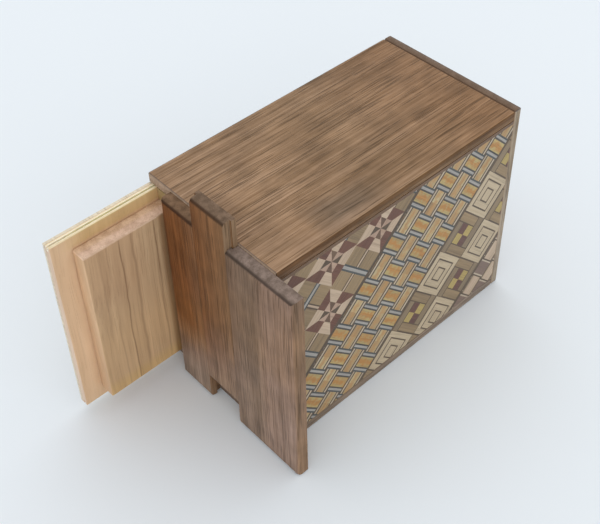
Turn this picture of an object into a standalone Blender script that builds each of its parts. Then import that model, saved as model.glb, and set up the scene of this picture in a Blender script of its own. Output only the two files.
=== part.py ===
"""Sliding-panel puzzle box, shown part way open.

The box lies on one walnut side. +X runs from the near end, which carries the sliding end board and its
key, to the far end. +Y points to the lid, -Y to the marquetry base, and +Z is up. The origin is the
middle of the resting face under the bottom side panel.

It stands as someone leaves it half way through the trick: the key is raised, the end board is pushed
towards the base, and the lid is drawn out past the end board.
"""

import bpy
import bmesh
from mathutils import Matrix, Vector

MM = 0.001

# Body
BODY_LENGTH = 116.4 * MM
BODY_WIDTH = 64.0 * MM
BODY_HEIGHT = 88.8 * MM
PANEL_THICKNESS = 4.0 * MM
FAR_BOARD_THICKNESS = 3.2 * MM
BASE_BOARD_THICKNESS = 2.8 * MM
BASE_TONGUE_THICKNESS = 1.3 * MM
BASE_TONGUE_DEPTH = 1.4 * MM
VENEER_THICKNESS = 0.8 * MM
WALL_THICKNESS = 3.2 * MM
EDGE_EASE = 0.45 * MM
INNER_EASE = 0.25 * MM

# Clearances
SEAT_GAP = 0.3 * MM
RUN_GAP = 0.3 * MM
FITTED_GAP = 0.15 * MM
CUT_OVERRUN = 1.0 * MM

# Lid
LID_BOARD_THICKNESS = 2.7 * MM
LID_OUT = 41.9 * MM
LID_BLOCK_THICKNESS = 6.5 * MM
LID_BLOCK_END_MARGIN = 7.3 * MM
LID_BLOCK_SIDE_MARGIN = 5.0 * MM
LID_BLOCK_EASE = 0.6 * MM

# Splines, the thin strips that a board's grooved edges run on
SPLINE_THICKNESS = 0.8 * MM
SPLINE_GROOVE_DEPTH = 1.6 * MM
SPLINE_END_INSET = 3.0 * MM

# Sliding end board
END_BOARD_THICKNESS = 4.5 * MM
END_BOARD_SHIFT = 12.3 * MM
END_BOARD_ROUND = 1.8 * MM
END_BOARD_TOP_DROP = 0.7 * MM
END_BOARD_FLOOR_GAP = 0.3 * MM
BACKING_THICKNESS = 3.0 * MM

# Key
KEY_WIDTH = 16.0 * MM
KEY_FROM_LID_SIDE = 17.2 * MM
KEY_RAISE = 11.4 * MM
KEY_FLANGE_THICKNESS = 1.6 * MM
KEY_FLANGE_WIDTH = 0.9 * MM

# Tenon on the key, and the locking groove it runs in
TENON_WIDTH = 6.0 * MM
TENON_HEIGHT = 5.0 * MM
TENON_RAISED_HEIGHT = 50.0 * MM
LOCK_WALL_THICKNESS = 3.8 * MM
LOCK_GROOVE_DEPTH = 2.6 * MM

WALNUT = ("walnut", (0.25, 0.145, 0.085, 1.0), 0.5)
LIGHT_WOOD = ("light_wood", (0.56, 0.37, 0.20, 1.0), 0.55)
MARQUETRY = ("marquetry", (0.46, 0.33, 0.14, 1.0), 0.35)

BEVEL_SEGMENTS = 2
ROUND_SEGMENTS = 5
SMOOTH_ANGLE = 0.6
HALF_SHARE = 0.5

# Body planes
near_x = -BODY_LENGTH / 2
far_x = BODY_LENGTH / 2
base_y = -BODY_WIDTH / 2
lid_y = BODY_WIDTH / 2
far_board_x = far_x - FAR_BOARD_THICKNESS
panel_far_x = far_board_x - SEAT_GAP
room_low_z = PANEL_THICKNESS + SEAT_GAP
room_high_z = BODY_HEIGHT - PANEL_THICKNESS - SEAT_GAP

# Base, from its face inwards
base_board_y = base_y + VENEER_THICKNESS + SEAT_GAP
base_inner_y = base_board_y + BASE_BOARD_THICKNESS
wall_y = base_inner_y + SEAT_GAP

# Lid, from its face inwards, and its two ends as it stands
lid_board_outer_y = lid_y - VENEER_THICKNESS - SEAT_GAP
lid_inner_y = lid_board_outer_y - LID_BOARD_THICKNESS
block_outer_y = lid_inner_y - SEAT_GAP
block_inner_y = block_outer_y - LID_BLOCK_THICKNESS
lid_near_x = near_x - LID_OUT
lid_far_x = panel_far_x - LID_OUT
wall_lid_y = lid_inner_y - RUN_GAP
lid_spline_y = (lid_inner_y + lid_board_outer_y) / 2

# Inner walls
lower_wall_z = room_low_z + WALL_THICKNESS
upper_wall_z = room_high_z - WALL_THICKNESS
block_low_z = room_low_z + LID_BLOCK_SIDE_MARGIN
block_high_z = room_high_z - LID_BLOCK_SIDE_MARGIN
upper_rail_z = block_high_z + RUN_GAP
rail_back_x = near_x + BACKING_THICKNESS
lock_wall_x = rail_back_x + RUN_GAP
lock_wall_back_x = lock_wall_x + LOCK_WALL_THICKNESS
far_wall_x = panel_far_x - WALL_THICKNESS
wall_short_y = block_inner_y - RUN_GAP

# End board as it stands, pushed towards the base
board_back_x = near_x - RUN_GAP
board_front_x = board_back_x - END_BOARD_THICKNESS
board_base_y = base_y - END_BOARD_SHIFT
board_lid_y = lid_y - END_BOARD_SHIFT
board_low_z = END_BOARD_FLOOR_GAP
board_high_z = BODY_HEIGHT - END_BOARD_TOP_DROP
backing_lid_y = wall_lid_y - END_BOARD_SHIFT
backing_low_z = lower_wall_z + RUN_GAP
backing_high_z = upper_rail_z - RUN_GAP

# Key as it stands, raised
key_lid_y = board_lid_y - KEY_FROM_LID_SIDE
key_base_y = key_lid_y - KEY_WIDTH
key_mid_y = (key_lid_y + key_base_y) / 2
key_low_z = board_low_z + KEY_RAISE
key_high_z = board_high_z + KEY_RAISE
flange_x = board_back_x - KEY_FLANGE_THICKNESS
tenon_low_z = TENON_RAISED_HEIGHT - TENON_HEIGHT / 2
tenon_high_z = TENON_RAISED_HEIGHT + TENON_HEIGHT / 2

# The end board can go back only until it meets the lid's block
board_free_travel = block_inner_y - RUN_GAP - board_lid_y

groove_width = SPLINE_THICKNESS + 2 * FITTED_GAP
spline_past_face = SPLINE_GROOVE_DEPTH - RUN_GAP


def clear_scene():
    """Remove whatever the open file holds."""
    for old in list(bpy.data.objects):
        bpy.data.objects.remove(old, do_unlink=True)


def wood(finish):
    """Material of one object: its own copy of a wood's colour and polish."""
    name, colour, roughness = finish
    material = bpy.data.materials.new(name)
    material.use_nodes = True
    shader = material.node_tree.nodes["Principled BSDF"]
    shader.inputs["Base Color"].default_value = colour
    shader.inputs["Roughness"].default_value = roughness
    shader.inputs["Metallic"].default_value = 0.0
    return material


def add_object(name, bm, middle, finish):
    """Object whose origin is at its own middle, from a mesh drawn around that middle."""
    mesh = bpy.data.meshes.new(name)
    bmesh.ops.recalc_face_normals(bm, faces=bm.faces)
    bm.to_mesh(mesh)
    bm.free()
    piece = bpy.data.objects.new(name, mesh)
    piece.location = middle
    bpy.context.scene.collection.objects.link(piece)
    piece.data.materials.append(wood(finish))
    return piece


def block_mesh(low, high):
    """Rectangular block between two corners, drawn around its middle."""
    low = Vector(low)
    high = Vector(high)
    middle = (low + high) / 2
    bm = bmesh.new()
    bmesh.ops.create_cube(bm, size=1.0)
    bmesh.ops.scale(bm, vec=high - low, verts=bm.verts)
    return bm, middle


def ease_edges(bm, width, segments, keep=None):
    """Round the edges that keep accepts, or every edge."""
    edges = [edge for edge in bm.edges if keep is None or keep(edge)]
    bmesh.ops.bevel(
        bm, geom=edges, offset=width, offset_type="OFFSET", segments=segments,
        profile=HALF_SHARE, affect="EDGES", clamp_overlap=True, material=-1,
    )


def board(name, low, high, finish, ease=INNER_EASE):
    """Plain board with lightly eased edges."""
    bm, middle = block_mesh(low, high)
    ease_edges(bm, ease, BEVEL_SEGMENTS)
    return add_object(name, bm, middle, finish)


def profile_mesh(outline, start, length, upright):
    """Outline in plan pushed up by length, or in the Y-Z plane pushed along X."""
    bm = bmesh.new()
    if upright:
        corners = [bm.verts.new((x, y, start)) for x, y in outline]
        push = Vector((0, 0, length))
    else:
        corners = [bm.verts.new((start, y, z)) for y, z in outline]
        push = Vector((length, 0, 0))
    face = bm.faces.new(corners)
    grown = bmesh.ops.extrude_face_region(bm, geom=[face])
    moved = [item for item in grown["geom"] if isinstance(item, bmesh.types.BMVert)]
    bmesh.ops.translate(bm, vec=push, verts=moved)
    low = Vector([min(vert.co[axis] for vert in bm.verts) for axis in range(3)])
    high = Vector([max(vert.co[axis] for vert in bm.verts) for axis in range(3)])
    middle = (low + high) / 2
    bmesh.ops.translate(bm, vec=-middle, verts=bm.verts)
    return bm, middle


def cut(piece, label, low, high):
    """Take a rectangular cut out of a piece with a hidden cutter."""
    bm, middle = block_mesh(low, high)
    cutter = add_object(piece.name + "_" + label + "_cutter", bm, middle, LIGHT_WOOD)
    cutter.hide_render = True
    cutter.display_type = "WIRE"
    modifier = piece.modifiers.new(label, "BOOLEAN")
    modifier.operation = "DIFFERENCE"
    modifier.solver = "EXACT"
    modifier.object = cutter
    return cutter


def carrier(name, place):
    """Empty on a joint's axis, which carries the pieces that slide together."""
    empty = bpy.data.objects.new(name, None)
    empty.empty_display_size = TENON_WIDTH
    bpy.context.scene.collection.objects.link(empty)
    empty.location = place
    return empty


def ride(piece, empty):
    """Parent a piece to its carrier, which is never turned, and leave the piece where it is."""
    piece.parent = empty
    piece.matrix_parent_inverse = Matrix.Translation(empty.location).inverted()


def side_panels():
    """Walnut panels above and below, grooved inside for the lid's splines and the base board's tongues."""
    for name, low_z, high_z, inner_z, inwards in (
        ("bottom_side_panel", 0, PANEL_THICKNESS, PANEL_THICKNESS, -1),
        ("top_side_panel", BODY_HEIGHT - PANEL_THICKNESS, BODY_HEIGHT, BODY_HEIGHT - PANEL_THICKNESS, 1),
    ):
        panel = board(name, (near_x, base_y, low_z), (panel_far_x, lid_y, high_z), WALNUT, EDGE_EASE)
        spline_zs = (inner_z - inwards * CUT_OVERRUN, inner_z + inwards * SPLINE_GROOVE_DEPTH)
        cut(
            panel, "lid_groove",
            (near_x + SPLINE_END_INSET - RUN_GAP, lid_spline_y - groove_width / 2, min(spline_zs)),
            (panel_far_x + CUT_OVERRUN, lid_spline_y + groove_width / 2, max(spline_zs)),
        )
        tongue_zs = (inner_z - inwards * CUT_OVERRUN, inner_z + inwards * (BASE_TONGUE_DEPTH + SEAT_GAP))
        cut(
            panel, "base_groove",
            (near_x - CUT_OVERRUN, base_inner_y - BASE_TONGUE_THICKNESS - SEAT_GAP, min(tongue_zs)),
            (panel_far_x + CUT_OVERRUN, base_inner_y + SEAT_GAP, max(tongue_zs)),
        )


def far_end_board():
    """Walnut board over the far ends of the side panels, the base and the lid."""
    board("far_end_board", (far_board_x, base_y, 0), (far_x, lid_y, BODY_HEIGHT), WALNUT, EDGE_EASE)


def base():
    """Light-wood base board with tongues along its two long edges, under a skin of marquetry."""
    tongue_y = base_inner_y - BASE_TONGUE_THICKNESS
    outline = (
        (base_board_y, room_low_z),
        (tongue_y, room_low_z),
        (tongue_y, PANEL_THICKNESS - BASE_TONGUE_DEPTH),
        (base_inner_y, PANEL_THICKNESS - BASE_TONGUE_DEPTH),
        (base_inner_y, BODY_HEIGHT - PANEL_THICKNESS + BASE_TONGUE_DEPTH),
        (tongue_y, BODY_HEIGHT - PANEL_THICKNESS + BASE_TONGUE_DEPTH),
        (tongue_y, room_high_z),
        (base_board_y, room_high_z),
    )
    bm, middle = profile_mesh(outline, near_x, panel_far_x - near_x, upright=False)
    add_object("base_board", bm, middle, LIGHT_WOOD)
    bm, middle = block_mesh(
        (near_x, base_y, room_low_z), (panel_far_x, base_y + VENEER_THICKNESS, room_high_z)
    )
    add_object("base_marquetry", bm, middle, MARQUETRY)


def inner_walls():
    """Light-wood lining of the compartment, closed at the near end by the wall with the locking groove."""
    board(
        "lower_inner_wall", (lock_wall_x, wall_y, room_low_z),
        (far_wall_x - SEAT_GAP, wall_lid_y, lower_wall_z), LIGHT_WOOD,
    )
    board(
        "upper_inner_wall", (lock_wall_x, wall_y, upper_wall_z),
        (far_wall_x - SEAT_GAP, wall_lid_y, room_high_z), LIGHT_WOOD,
    )
    board(
        "far_inner_wall", (far_wall_x, wall_y, room_low_z),
        (panel_far_x, wall_lid_y, room_high_z), LIGHT_WOOD,
    )
    lock_wall = board(
        "near_inner_wall", (lock_wall_x, wall_y, lower_wall_z + SEAT_GAP),
        (lock_wall_back_x, wall_short_y, upper_wall_z - SEAT_GAP), LIGHT_WOOD,
    )
    locking_groove(lock_wall)


def locking_groove(lock_wall):
    """Inverted U in the near wall: a level run, with a leg down at each end where the key can drop."""
    front_x = lock_wall_x - CUT_OVERRUN
    back_x = lock_wall_x + LOCK_GROOVE_DEPTH
    half = TENON_WIDTH / 2 + RUN_GAP
    top_z = tenon_high_z + RUN_GAP
    run_low_z = tenon_low_z - RUN_GAP
    leg_low_z = run_low_z - KEY_RAISE
    open_y = key_mid_y
    shut_y = key_mid_y + END_BOARD_SHIFT
    level_run = (open_y - half, shut_y + half)
    open_leg = (open_y - half, open_y + board_free_travel + half)
    shut_leg = (shut_y - half, shut_y + half)
    outline = (
        (open_leg[0], leg_low_z),
        (open_leg[1], leg_low_z),
        (open_leg[1], run_low_z),
        (shut_leg[0], run_low_z),
        (shut_leg[0], leg_low_z),
        (shut_leg[1], leg_low_z),
        (level_run[1], top_z),
        (level_run[0], top_z),
    )
    bm, middle = profile_mesh(outline, front_x, back_x - front_x, upright=False)
    cutter = add_object("locking_groove_cutter", bm, middle, LIGHT_WOOD)
    cutter.hide_render = True
    cutter.display_type = "WIRE"
    modifier = lock_wall.modifiers.new("locking_groove", "BOOLEAN")
    modifier.operation = "DIFFERENCE"
    modifier.solver = "EXACT"
    modifier.object = cutter


def end_rails():
    """Rails above and below the end board's backing, each grooved for the spline that holds the backing."""
    spline_x = (near_x + rail_back_x) / 2
    groove = (spline_x - groove_width / 2, spline_x + groove_width / 2)
    strip = (spline_x - SPLINE_THICKNESS / 2, spline_x + SPLINE_THICKNESS / 2)
    strip_ends = (wall_y + SPLINE_END_INSET, wall_short_y)
    for name, low_z, high_z, face_z, inwards in (
        ("lower_end_rail", room_low_z, lower_wall_z, lower_wall_z, -1),
        ("upper_end_rail", upper_rail_z, room_high_z, upper_rail_z, 1),
    ):
        rail = board(name, (near_x, wall_y, low_z), (rail_back_x, wall_lid_y, high_z), LIGHT_WOOD)
        groove_zs = (face_z - inwards * CUT_OVERRUN, face_z + inwards * SPLINE_GROOVE_DEPTH)
        cut(
            rail, "spline_groove",
            (groove[0], strip_ends[0] - FITTED_GAP, min(groove_zs)),
            (groove[1], strip_ends[1] + FITTED_GAP, max(groove_zs)),
        )
        strip_zs = (
            face_z + inwards * spline_past_face,
            face_z - inwards * (RUN_GAP + spline_past_face),
        )
        bm, middle = block_mesh(
            (strip[0], strip_ends[0], min(strip_zs)), (strip[1], strip_ends[1], max(strip_zs))
        )
        add_object(name.replace("rail", "spline"), bm, middle, LIGHT_WOOD)


def lid_splines():
    """Thin strips let into the side panels, on which the lid's grooved edges run."""
    for name, face_z, inwards in (
        ("lower_lid_spline", PANEL_THICKNESS, -1),
        ("upper_lid_spline", BODY_HEIGHT - PANEL_THICKNESS, 1),
    ):
        strip_zs = (
            face_z + inwards * spline_past_face,
            face_z - inwards * (SEAT_GAP + spline_past_face),
        )
        bm, middle = block_mesh(
            (near_x + SPLINE_END_INSET, lid_spline_y - SPLINE_THICKNESS / 2, min(strip_zs)),
            (far_wall_x, lid_spline_y + SPLINE_THICKNESS / 2, max(strip_zs)),
        )
        add_object(name, bm, middle, LIGHT_WOOD)


def lid():
    """Lid board with grooved edges, its marquetry skin, and the guide block on its inner face."""
    slide = carrier("lid_slide", ((lid_near_x + lid_far_x) / 2, lid_spline_y, BODY_HEIGHT / 2))
    lid_board = board(
        "lid_board", (lid_near_x, lid_inner_y, room_low_z),
        (lid_far_x, lid_board_outer_y, room_high_z), LIGHT_WOOD,
    )
    for label, edge_z, inwards in (("lower_groove", room_low_z, 1), ("upper_groove", room_high_z, -1)):
        groove_zs = (edge_z - inwards * CUT_OVERRUN, edge_z + inwards * SPLINE_GROOVE_DEPTH)
        cutter = cut(
            lid_board, label,
            (lid_near_x - CUT_OVERRUN, lid_spline_y - groove_width / 2, min(groove_zs)),
            (lid_far_x + CUT_OVERRUN, lid_spline_y + groove_width / 2, max(groove_zs)),
        )
        ride(cutter, slide)
    bm, middle = block_mesh(
        (lid_near_x, lid_y - VENEER_THICKNESS, room_low_z), (lid_far_x, lid_y, room_high_z)
    )
    lid_marquetry = add_object("lid_marquetry", bm, middle, MARQUETRY)
    lid_block = board(
        "lid_block",
        (lid_near_x + LID_BLOCK_END_MARGIN, block_inner_y, block_low_z),
        (lid_far_x - LID_BLOCK_END_MARGIN, block_outer_y, block_high_z), LIGHT_WOOD, LID_BLOCK_EASE,
    )
    for piece in (lid_board, lid_marquetry, lid_block):
        ride(piece, slide)


def on_plane(edge, axis, value):
    """True where both ends of an edge lie on the plane that an axis and a value give."""
    near = FITTED_GAP / 2
    return all(abs(vert.co[axis] - value) < near for vert in edge.verts)


def end_board_part(name, outline, outer_y):
    """One side of the end board, with its outer front edges well rounded."""
    bm, middle = profile_mesh(outline, board_low_z, board_high_z - board_low_z, upright=True)
    front = board_front_x - middle.x
    ends = ((1, outer_y - middle.y), (2, board_low_z - middle.z), (2, board_high_z - middle.z))
    ease_edges(
        bm, END_BOARD_ROUND, ROUND_SEGMENTS,
        lambda edge: on_plane(edge, 0, front) and any(on_plane(edge, *end) for end in ends),
    )
    return smooth(add_object(name, bm, middle, WALNUT))


def smooth(piece):
    """Shade the rounded edges smooth and keep the flat faces crisp."""
    piece.data.shade_smooth()
    piece.data.set_sharp_from_angle(angle=SMOOTH_ANGLE)
    return piece


def end_board(slide):
    """Two walnut parts with the key's channel between them, joined by a light-wood backing."""
    lip_x = flange_x - RUN_GAP
    lip_y = key_lid_y + FITTED_GAP
    rebate_y = key_lid_y + KEY_FLANGE_WIDTH + FITTED_GAP
    narrow = end_board_part(
        "end_board_narrow_part",
        (
            (board_front_x, board_lid_y), (board_back_x, board_lid_y), (board_back_x, rebate_y),
            (lip_x, rebate_y), (lip_x, lip_y), (board_front_x, lip_y),
        ),
        board_lid_y,
    )
    lip_y = key_base_y - FITTED_GAP
    rebate_y = key_base_y - KEY_FLANGE_WIDTH - FITTED_GAP
    wide = end_board_part(
        "end_board_wide_part",
        (
            (board_front_x, board_base_y), (board_front_x, lip_y), (lip_x, lip_y),
            (lip_x, rebate_y), (board_back_x, rebate_y), (board_back_x, board_base_y),
        ),
        board_base_y,
    )
    backing = board(
        "end_board_backing", (near_x, wall_y, backing_low_z),
        (rail_back_x, backing_lid_y, backing_high_z), LIGHT_WOOD,
    )
    ride(cut(
        backing, "tenon_slot",
        (near_x - CUT_OVERRUN, key_mid_y - TENON_WIDTH / 2 - RUN_GAP, tenon_low_z - KEY_RAISE - RUN_GAP),
        (rail_back_x + CUT_OVERRUN, key_mid_y + TENON_WIDTH / 2 + RUN_GAP, tenon_high_z + RUN_GAP),
    ), slide)
    spline_x = (near_x + rail_back_x) / 2
    for label, edge_z, inwards in (("lower_groove", backing_low_z, 1), ("upper_groove", backing_high_z, -1)):
        groove_zs = (edge_z - inwards * CUT_OVERRUN, edge_z + inwards * SPLINE_GROOVE_DEPTH)
        ride(cut(
            backing, label,
            (spline_x - groove_width / 2, wall_y - CUT_OVERRUN, min(groove_zs)),
            (spline_x + groove_width / 2, backing_lid_y + CUT_OVERRUN, max(groove_zs)),
        ), slide)
    for piece in (narrow, wide, backing):
        ride(piece, slide)


def key(slide):
    """Key strip with a flange down each side of its back, and the tenon that locks the end board."""
    flange_lid_y = key_lid_y + KEY_FLANGE_WIDTH
    flange_base_y = key_base_y - KEY_FLANGE_WIDTH
    outline = (
        (board_front_x, key_base_y), (board_front_x, key_lid_y), (flange_x, key_lid_y),
        (flange_x, flange_lid_y), (board_back_x, flange_lid_y), (board_back_x, flange_base_y),
        (flange_x, flange_base_y), (flange_x, key_base_y),
    )
    bm, middle = profile_mesh(outline, key_low_z, key_high_z - key_low_z, upright=True)
    front = board_front_x - middle.x
    ends = ((2, key_low_z - middle.z), (2, key_high_z - middle.z))
    ease_edges(
        bm, END_BOARD_ROUND, ROUND_SEGMENTS,
        lambda edge: on_plane(edge, 0, front) and any(on_plane(edge, *end) for end in ends),
    )
    strip = smooth(add_object("key_strip", bm, middle, WALNUT))
    tenon = board(
        "key_tenon", (board_back_x + SEAT_GAP, key_mid_y - TENON_WIDTH / 2, tenon_low_z),
        (lock_wall_x + LOCK_GROOVE_DEPTH - RUN_GAP, key_mid_y + TENON_WIDTH / 2, tenon_high_z), WALNUT,
    )
    for piece in (strip, tenon):
        ride(piece, slide)


def build():
    """Whole box in its half-open place."""
    clear_scene()
    side_panels()
    far_end_board()
    base()
    inner_walls()
    end_rails()
    lid_splines()
    lid()
    board_mid_y = (board_base_y + board_lid_y) / 2
    board_slide = carrier("end_board_slide", (board_back_x, board_mid_y, BODY_HEIGHT / 2))
    end_board(board_slide)
    key_slide = carrier("key_slide", (board_back_x, key_mid_y, TENON_RAISED_HEIGHT))
    ride(key_slide, board_slide)
    key(key_slide)


build()
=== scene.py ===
"""Looks of a sliding-panel puzzle box: walnut boards, pale lid and diagonal bands of marquetry."""

import math
import random

import bmesh
import bpy
from mathutils import Euler, Matrix, Vector


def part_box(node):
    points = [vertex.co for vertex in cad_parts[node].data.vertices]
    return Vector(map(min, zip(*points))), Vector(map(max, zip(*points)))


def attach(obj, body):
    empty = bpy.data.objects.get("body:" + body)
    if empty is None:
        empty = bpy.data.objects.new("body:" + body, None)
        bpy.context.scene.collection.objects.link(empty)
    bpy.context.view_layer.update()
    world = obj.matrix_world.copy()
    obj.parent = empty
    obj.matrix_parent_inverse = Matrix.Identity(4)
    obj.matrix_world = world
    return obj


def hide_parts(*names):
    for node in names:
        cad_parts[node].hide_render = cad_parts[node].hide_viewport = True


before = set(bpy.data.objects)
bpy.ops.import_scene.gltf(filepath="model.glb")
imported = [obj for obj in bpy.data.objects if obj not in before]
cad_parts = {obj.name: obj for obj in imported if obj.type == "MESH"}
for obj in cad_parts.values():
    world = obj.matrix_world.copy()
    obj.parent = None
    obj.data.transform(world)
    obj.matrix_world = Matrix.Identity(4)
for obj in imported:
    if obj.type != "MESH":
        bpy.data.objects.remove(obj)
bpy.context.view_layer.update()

MM = 0.001
SLOPE = math.sqrt(0.5)
AXES = {"x": 0, "y": 1, "z": 2}

# The sides of a board that a change of colour can be kept to.
TOPSIDE = ("z", 1)
KEY_END = ("x", -1)
BASE_SIDE = ("y", -1)

# How the marquetry is laid out, in millimetres along and across its bands.
BAND_LINES = (-24.4, -22.85, 13.7, 14.7, 48.4, 49.8)
PATTERN_REACH = 110
PATTERN_MIDDLE_HEIGHT = 44.5
PATTERN_SHIFT = 1.8
UPPER_BORDER = 38.8
BASE_SEED = 7
LID_SEED = 11

# The stars, and the squares between a bold line and a thin one.
STAR_PITCH_ALONG = 16.3
STAR_PITCH_ACROSS = 16.0
STAR_CENTRE_ALONG = -18.6
STAR_CENTRE_ACROSS = -32.1
STAR_ROW_SHIFT = 0.7
STAR_HEART = 3.7
PLAID_BOLD_LINES = (-1.25, -0.55, 0.55, 1.25)
PLAID_THIN_LINES = (-0.95, -0.4, 0.4, 0.95)

# The basket weave.
WEAVE_PITCH = 9.14
WEAVE_CENTRE_ALONG = -7.8
WEAVE_CENTRE_ACROSS = -18.15
WEAVE_SHORT = 4.35
WEAVE_UPRIGHT_LINES = (-3.65, -2.75, -2.1, 2.1, 2.75, 3.65)
WEAVE_LEVEL_LINES = (-3.8, -2.9, -2.15, 2.15, 2.9, 3.8)

# The nested squares, and the checks with their frames of bars.
MASU_PITCH_ALONG = 17.15
MASU_PITCH_ACROSS = 17.4
MASU_CENTRE_ALONG = 4.9
MASU_CENTRE_ACROSS = 23.15
MASU_ROW_SHIFT = 0.3
MASU_RINGS = (8.35, 5.95, 5.35, 2.9, 2.3)
CHECK_HALF = 4.25
CHECK_BAR_NEAR = 0.45
CHECK_BAR_FAR = 3.9

# The pale and brown weave.
PLANK_PITCH = 8.1
PLANK_CENTRE_ALONG = 4.5
PLANK_CENTRE_ACROSS = 54.15
PLANK_LEVEL = 4.1
PLANK_LEVEL_LINES = (-3.6, -3.0, 3.0, 3.6)
PLANK_UPRIGHT_LINES = (-3.4, -2.8, 2.8, 3.4)

# How close the dressed pieces are fitted to their neighbours, and the lid's groove with the edge and
# foot of the painted light that lifts its shade.
SEAT_GAP = 0.1 * MM
SKIN_GAP = 0.03 * MM
GROOVE_LOW = 29.0 * MM
GROOVE_HIGH = 30.1 * MM
GROOVE_LIGHT_EDGE = 0.05
GROOVE_LIGHT_FOOT = (82.7, 82.85)

# How near points count as one, how flat two faces meet to be joined or smoothed, and how squarely
# a sheet's outer face looks outwards.
WELD_REACH = 0.005 * MM
CUT_REACH = 0.01 * MM
PLACE_REACH = 0.02 * MM
FLAT_ANGLE = math.radians(1)
SMOOTH_ANGLE = math.radians(34)
FACING_OUT = 0.9


def finish_piece(bm, name, body, nodes, materials, smooth=None):
    """Makes the mesh a piece that rides on its body and stands for its nodes."""
    mesh = bpy.data.meshes.new(name)
    bm.to_mesh(mesh)
    bm.free()
    for material in materials:
        mesh.materials.append(material)
    if smooth is not None:
        mesh.shade_smooth()
        mesh.set_sharp_from_angle(angle=smooth)
    piece = bpy.data.objects.new(name, mesh)
    bpy.context.scene.collection.objects.link(piece)
    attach(piece, body)
    if nodes:
        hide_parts(*nodes)
    return piece


def node_shape(node):
    """A merged copy of a node's shape."""
    bm = bmesh.new()
    bm.from_mesh(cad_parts[node].data)
    bmesh.ops.remove_doubles(bm, verts=bm.verts, dist=WELD_REACH)
    bmesh.ops.dissolve_limit(bm, angle_limit=FLAT_ANGLE, verts=bm.verts, edges=bm.edges)
    return bm


def face_place(node, axis, side):
    """Where a node's box ends on an axis."""
    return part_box(node)[side][AXES[axis]]


def draw_out(bm, axis, place, target):
    """Moves the points that lie at a place on an axis to another place on it."""
    index = AXES[axis]
    near = [v for v in bm.verts if abs(v.co[index] - place) < PLACE_REACH]
    step = Vector((0, 0, 0))
    step[index] = target - place
    bmesh.ops.translate(bm, verts=near, vec=step)


def slab(low, high):
    """A plain board between two corners."""
    bm = bmesh.new()
    size = high - low
    bmesh.ops.create_cube(bm, size=1)
    bmesh.ops.scale(bm, vec=size, verts=bm.verts)
    bmesh.ops.translate(bm, vec=(low + high) / 2, verts=bm.verts)
    return bm


class Sheet:
    """A marquetry face that is scribed into pieces of veneer."""

    def __init__(self, bm, origin, along, across, woods, seed):
        self.bm = bm
        self.origin = origin
        self.along = along
        self.across = across
        self.woods = woods
        self.draw = random.Random(seed)
        self.grain = bm.loops.layers.uv.new("grain")
        self.core = bm.loops.layers.float.new("core")
        self.shade = bm.faces.layers.float.new("shade")

    def place(self, face):
        """Where a face lies along and across the bands, in millimetres."""
        offset = face.calc_center_median() - self.origin
        return offset.dot(self.along) / MM, offset.dot(self.across) / MM

    def scribe(self, faces, direction, distance):
        """Cuts the faces along a line at a distance from the sheet's middle."""
        edges = dict.fromkeys(e for f in faces for e in f.edges)
        verts = dict.fromkeys(v for f in faces for v in f.verts)
        cut = bmesh.ops.bisect_plane(
            self.bm,
            geom=[*faces, *edges, *verts],
            dist=CUT_REACH,
            plane_co=self.origin + direction * distance * MM,
            plane_no=direction,
        )
        return [g for g in cut["geom"] if isinstance(g, bmesh.types.BMFace)]

    def split(self, faces, direction, distance):
        """The faces below and above a line, after they are cut along it."""
        if not faces:
            return [], []
        cut = self.scribe(faces, direction, distance)
        height = [(f.calc_center_median() - self.origin).dot(direction) / MM for f in cut]
        below = [f for f, h in zip(cut, height) if h < distance]
        above = [f for f, h in zip(cut, height) if h >= distance]
        return below, above

    def strips(self, faces, direction, distances):
        """The faces in strips between lines, from the lowest line up."""
        found = []
        rest = faces
        for distance in distances:
            below, rest = self.split(rest, direction, distance)
            found.append(below)
        found.append(rest)
        return found

    def rows(self, faces, direction, centre, pitch):
        """The faces in rows of one pitch, each with its number and its middle."""
        first = -int(PATTERN_REACH // pitch)
        numbers = range(first, -first + 1)
        lines = [centre + (n + 0.5) * pitch for n in numbers]
        found = self.strips(faces, direction, lines)
        kept = [(n, centre + n * pitch, part) for n, part in zip(numbers, found)]
        return [row for row in kept if row[2]]

    def lay(self, faces, wood, turned=False, spine=None):
        """Lays one piece of veneer with its own grain and shade, and the distance from its spine."""
        if not faces:
            return
        shift = Vector((self.draw.uniform(0, 1), self.draw.uniform(0, 1)))
        shade = self.draw.uniform(0, 1)
        first, second = (self.across, self.along) if turned else (self.along, self.across)
        for face in faces:
            face.material_index = self.woods.index(wood)
            face[self.shade] = shade
            for loop in face.loops:
                offset = loop.vert.co - self.origin
                spot = Vector((offset.dot(first), offset.dot(second)))
                loop[self.grain].uv = spot + shift
                if spine:
                    direction, middle = spine
                    loop[self.core] = offset.dot(direction) / MM - middle


def lines_at(middle, offsets):
    """Lines at their distances from the middle of a tile."""
    return [middle + offset for offset in offsets]


def ring(sheet, faces, middle, half):
    """The faces inside and outside a square round a tile's middle."""
    sides = (-half, half)
    low, centre, high = sheet.strips(faces, sheet.along, lines_at(middle[0], sides))
    top, inside, bottom = sheet.strips(centre, sheet.across, lines_at(middle[1], sides))
    return inside, (low, high, top, bottom)


def eighths(sheet, faces, middle):
    """The faces in the eight wedges round a tile's middle."""
    parts = faces
    start, other = middle
    cuts = [
        (sheet.along, start),
        (sheet.across, other),
        ((sheet.along + sheet.across) * SLOPE, (start + other) * SLOPE),
        ((sheet.along - sheet.across) * SLOPE, (start - other) * SLOPE),
    ]
    for direction, distance in cuts:
        parts = sheet.scribe(parts, direction, distance)
    wedges = [[] for _ in range(8)]
    for face in parts:
        along, across = sheet.place(face)
        turn = math.atan2(other - across, along - start)
        wedges[int(turn // (math.pi / 4)) % 8].append(face)
    return wedges


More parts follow.
